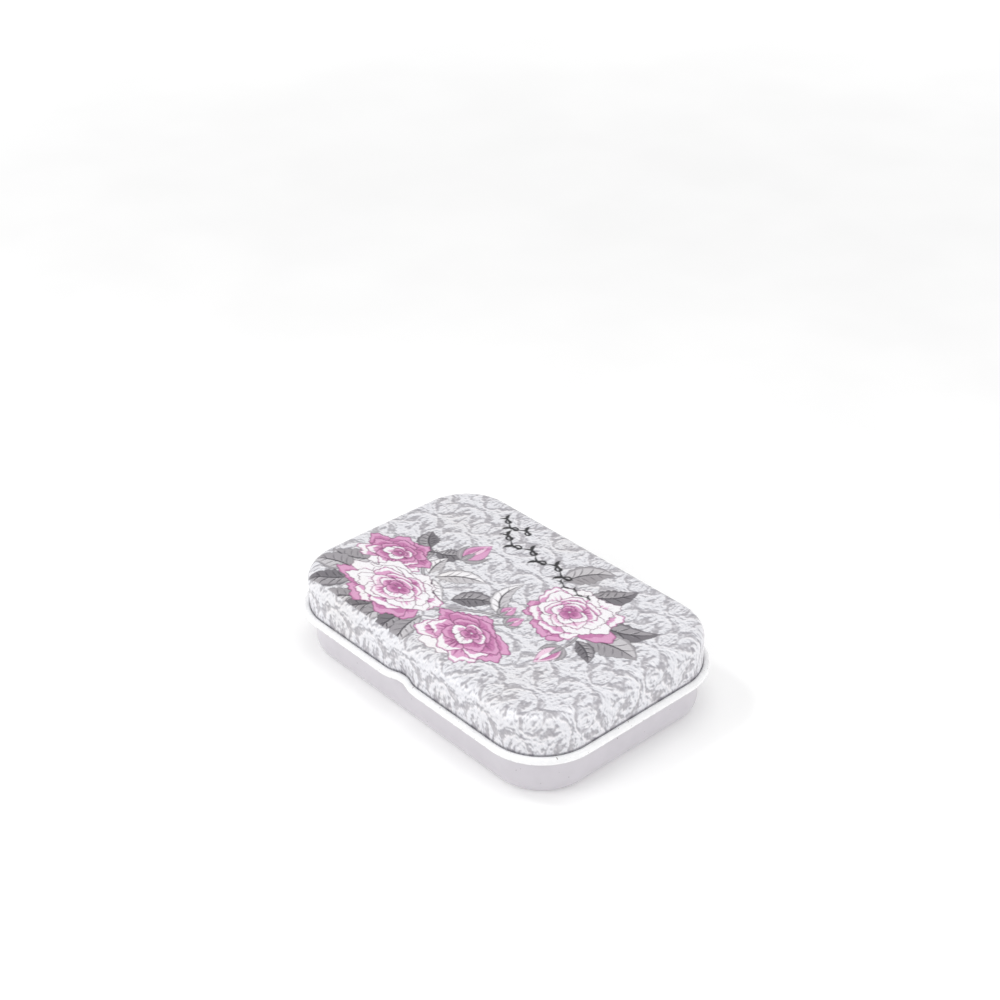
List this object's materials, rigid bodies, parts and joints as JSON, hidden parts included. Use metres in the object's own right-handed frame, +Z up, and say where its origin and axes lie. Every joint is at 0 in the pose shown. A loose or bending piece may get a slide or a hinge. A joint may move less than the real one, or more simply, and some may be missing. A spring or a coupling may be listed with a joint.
{
  "type": "hinged pocket tin",
  "caption": "Small flat tin with rounded corners: a printed lid with a rolled bead and a thumb dent, hinged at the back to a plain inset tray",
  "frame": {"origin": "On the floor, under the middle of the tin", "axes": "+X along the long side, -Y to the front with the thumb dent, +Y to the hinge, +Z up out of the lid"},
  "size_m": [0.095, 0.0637, 0.0215],
  "materials": {
    "printed_lid": "litho print under clear varnish, satin",
    "tray_lacquer": "pearl grey-white lacquer, satin",
    "lug_lacquer": "white lacquer over tinplate, satin, worn bare in patches"
  },
  "bodies": {
    "tray_body": {"base_tray": "tray_lacquer", "hinge_lug_left": "lug_lacquer", "hinge_lug_right": "lug_lacquer"},
    "lid_body": {"lid": "printed_lid"}
  },
  "joints": [
    {"name": "lid_hinge", "type": "hinge", "parent": "tray_body", "child": "lid_body", "pos_m": [0, 0.03077, 0.01105], "axis": [-1, 0, 0], "range_deg": [0, 105]}
  ]
}
